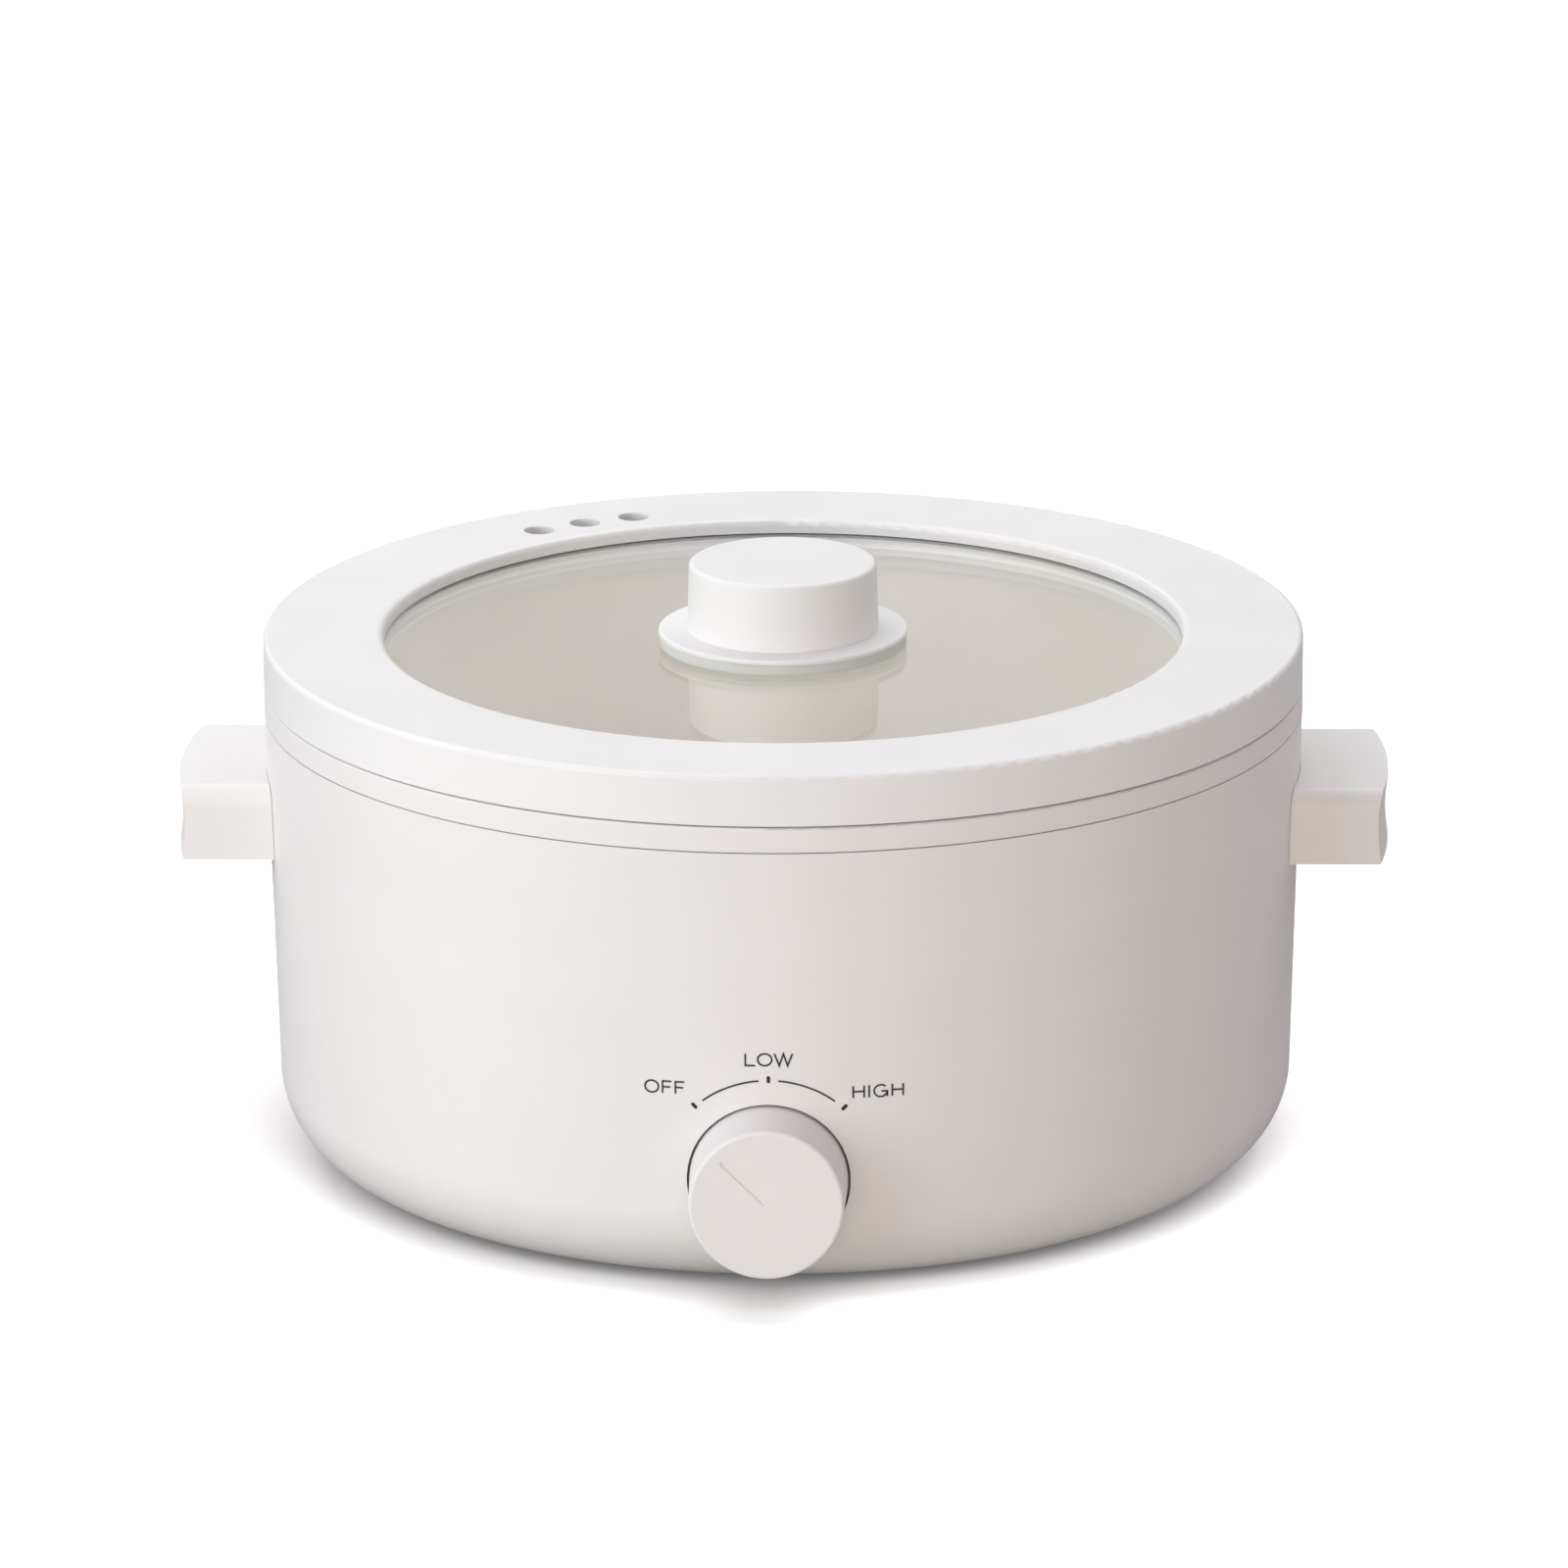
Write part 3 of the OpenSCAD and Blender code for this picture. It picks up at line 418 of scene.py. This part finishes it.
def word(name, text, left, right, low, height, pen):
    """Prints a word between two distances along the wall."""
    natural = sum(LETTER_WIDTH[c] for c in text) * height
    gap = (right - left - pen - natural) / (len(text) - 1)
    x = left + pen / 2
    lines = []
    for letter in text:
        w = LETTER_WIDTH[letter] * height
        for line in letter_lines(letter, w, height - pen):
            lines.append([(x + px, low + pen / 2 + py) for px, py in line])
        x += w + gap
    printed(name, lines, pen)


PEN_WIDTH = 0.46 * MM
TICK_WIDTH = 0.95 * MM
TICK_IN, TICK_OUT = 0.25 * MM, 0.85 * MM
CAP_HEIGHT = 3.8 * MM
ARC_X = 0.15 * MM
ARC_R = 28.7 * MM
# start and end in degrees anticlockwise from the right
DIAL_ARCS = {"dial_arc_left": (95.3, 128), "dial_arc_right": (52, 84.7)}
DIAL_TICKS = {"dial_tick_off": 133.3, "dial_tick_low": 90, "dial_tick_high": 45.8}
# left, right and low edge in millimetres
DIAL_WORDS = {"LOW": (-6.2, 6.8, 68.2), "OFF": (-33.4, -22.2, 59.5), "HIGH": (22.5, 36.5, 58.6)}


def dial_marks():
    """Prints two arcs, a tick for each setting and the settings' names around the control."""
    for name, (start, end) in DIAL_ARCS.items():
        printed(name, [arc(ARC_X, DIAL_Z, ARC_R, ARC_R, start, end)], PEN_WIDTH)
    for name, angle in DIAL_TICKS.items():
        a = math.radians(angle)
        tick = [(ARC_X + r * math.cos(a), DIAL_Z + r * math.sin(a))
                for r in (ARC_R - TICK_IN, ARC_R + TICK_OUT)]
        printed(name, [tick], TICK_WIDTH, add_dash)
    for text, (left, right, low) in DIAL_WORDS.items():
        word("dial_word_" + text.lower(), text, left * MM, right * MM, low * MM, CAP_HEIGHT, PEN_WIDTH)


dial_marks()


# ---------------------------------------------------------------- studio

def in_sight(tree):
    """1 for what the camera sees directly or through glass, 0 for light on its way to a surface."""
    path = tree.nodes.new("ShaderNodeLightPath")
    either = tree.nodes.new("ShaderNodeMath")
    either.operation = "MAXIMUM"
    tree.links.new(path.outputs["Is Camera Ray"], either.inputs[0])
    tree.links.new(path.outputs["Is Transmission Ray"], either.inputs[1])
    return either.outputs[0]


FLOOR_HALF = 30.0
FLOOR_SEEN = (0.90, 0.90, 0.90)
FLOOR_BOUNCE = (0.265, 0.258, 0.255)
# glow of the floor in sight, near the cooker and far from it, and where it begins and ends to grow
NEAR_GLOW, FAR_GLOW = 0.10, 1.0
GLOW_START, GLOW_END = 2.0, 6.0


def floor():
    """A wide pale floor: white in sight, darker to other rays so little light bounces up."""
    data = bpy.data.meshes.new("studio_floor")
    corners = [(x * FLOOR_HALF, y * FLOOR_HALF, 0) for x, y in ((-1, -1), (1, -1), (1, 1), (-1, 1))]
    data.from_pydata(corners, [], [(0, 1, 2, 3)])
    g = Graph("studio_floor")
    seen = in_sight(g.tree)
    away = g.add("ShaderNodeVectorMath", operation="LENGTH")
    g.link(g.place, away.inputs[0])
    glow = g.add("ShaderNodeMath", operation="MULTIPLY")
    g.link(seen, glow.inputs[0])
    g.link(g.spread(away.outputs["Value"], NEAR_GLOW, FAR_GLOW, GLOW_START, GLOW_END), glow.inputs[1])
    g.set(Base_Color=g.mix(seen, FLOOR_BOUNCE, FLOOR_SEEN), Roughness=0.9, Specular_IOR_Level=0.1)
    g.set(Emission_Color=(1.0, 1.0, 1.0), Emission_Strength=glow.outputs[0])
    data.materials.append(g.material)
    piece = bpy.data.objects.new("studio_floor", data)
    bpy.context.scene.collection.objects.link(piece)
    return piece


def softbox(name, place, target, width, height, watts, colour):
    """A rectangular lamp facing a target, itself out of sight."""
    data = bpy.data.lights.new(name, "AREA")
    data.shape = "RECTANGLE"
    data.size = width
    data.size_y = height
    data.energy = watts
    data.color = colour
    lamp = bpy.data.objects.new(name, data)
    lamp.location = place
    lamp.rotation_euler = (Vector(target) - Vector(place)).to_track_quat("-Z", "Y").to_euler()
    lamp.visible_camera = False
    lamp.visible_transmission = False
    bpy.context.scene.collection.objects.link(lamp)
    return lamp


MIDDLE = (0.0, 0.0, 0.09)


def around_cooker(distance, azimuth, elevation):
    """A place seen from the cooker's middle: azimuth 0 is the front, 90 its right-hand side."""
    a, e = math.radians(azimuth), math.radians(elevation)
    flat = distance * math.cos(e)
    return (flat * math.sin(a), -flat * math.cos(a), MIDDLE[2] + distance * math.sin(e))


# distance, azimuth, elevation, width, height, then red, green and blue watts
COOKER_LIGHTS = {
    "back_top": (2.2, 180, 52, 3.0, 1.8, (30.8, 33.9, 32.3)),
    "top_left": (2.2, -70, 60, 1.4, 1.4, (3.5, 2.5, 3.7)),
    "left": (2.0, -80, 20, 1.2, 1.2, (7.5, 8.0, 6.4)),
    "front_left": (2.0, -45, 15, 1.2, 1.2, (11.5, 12.8, 14.3)),
    "front": (2.4, 0, 5, 1.4, 0.3, (11.8, 10.7, 7.7)),
}
FLOOR_LIGHTS = {
    "floor_overhead": (6.0, 0, 90, 7.0, 7.0, (300.0, 300.0, 300.0)),
    "floor_right": (5.0, 70, 60, 4.0, 4.0, (80.0, 80.0, 80.0)),
    "floor_front": (5.0, 0, 32, 5.0, 2.5, (240.0, 240.0, 240.0)),
}
SKY_LIGHT = (0.443, 0.400, 0.415)


def world():
    """A grey, faintly pink sky for light, white in sight."""
    sky = bpy.data.worlds.new("studio_world")
    sky.use_nodes = True
    tree = sky.node_tree
    lit = tree.nodes["Background"]
    lit.inputs["Color"].default_value = (*SKY_LIGHT, 1.0)
    seen = tree.nodes.new("ShaderNodeBackground")
    seen.inputs["Color"].default_value = (1.0, 1.0, 1.0, 1.0)
    blend = tree.nodes.new("ShaderNodeMixShader")
    tree.links.new(in_sight(tree), blend.inputs["Fac"])
    tree.links.new(lit.outputs["Background"], blend.inputs[1])
    tree.links.new(seen.outputs["Background"], blend.inputs[2])
    tree.links.new(blend.outputs["Shader"], tree.nodes["World Output"].inputs["Surface"])
    bpy.context.scene.world = sky


def light(ground):
    """One set of soft lights for all but the floor and one for the floor alone, for a narrow shadow."""
    for lights, state in ((COOKER_LIGHTS, "EXCLUDE"), (FLOOR_LIGHTS, "INCLUDE")):
        reached = bpy.data.collections.new("floor_" + state.lower())
        reached.objects.link(ground)
        reached.collection_objects[0].light_linking.link_state = state
        for name, (distance, azimuth, elevation, width, height, watts) in lights.items():
            power = max(watts)
            place = around_cooker(distance, azimuth, elevation)
            lamp = softbox(name, place, MIDDLE, width, height, power, tuple(w / power for w in watts))
            lamp.light_linking.receiver_collection = reached


CAMERA_PLACE = (0.1040, -3.1082, 1.0426)
CAMERA_YAW = math.radians(1.916)
CAMERA_PITCH = math.radians(16.795)
CAMERA_ROLL = -0.00552  # radians
SENSOR_WIDTH = 36.0
FOCAL_LENGTH = 270.0


def camera():
    """A long lens, a little right of the cooker's front, looking 17 degrees down."""
    data = bpy.data.cameras.new("camera")
    data.sensor_width = SENSOR_WIDTH
    data.lens = FOCAL_LENGTH
    data.clip_start = 0.1
    data.clip_end = 100.0
    level_reach = math.cos(CAMERA_PITCH)
    ahead = Vector((-math.sin(CAMERA_YAW) * level_reach, math.cos(CAMERA_YAW) * level_reach,
                    -math.sin(CAMERA_PITCH)))
    level = ahead.cross(Vector((0, 0, 1))).normalized()
    upright = level.cross(ahead)
    right = level * math.cos(CAMERA_ROLL) + upright * math.sin(CAMERA_ROLL)
    up = right.cross(ahead)
    turn = Matrix((right, up, -ahead)).transposed().to_4x4()
    view = bpy.data.objects.new("camera", data)
    view.matrix_world = Matrix.Translation(CAMERA_PLACE) @ turn
    bpy.context.scene.collection.objects.link(view)
    bpy.context.scene.camera = view


world()
light(floor())
camera()
bpy.context.scene.view_settings.view_transform = "Standard"
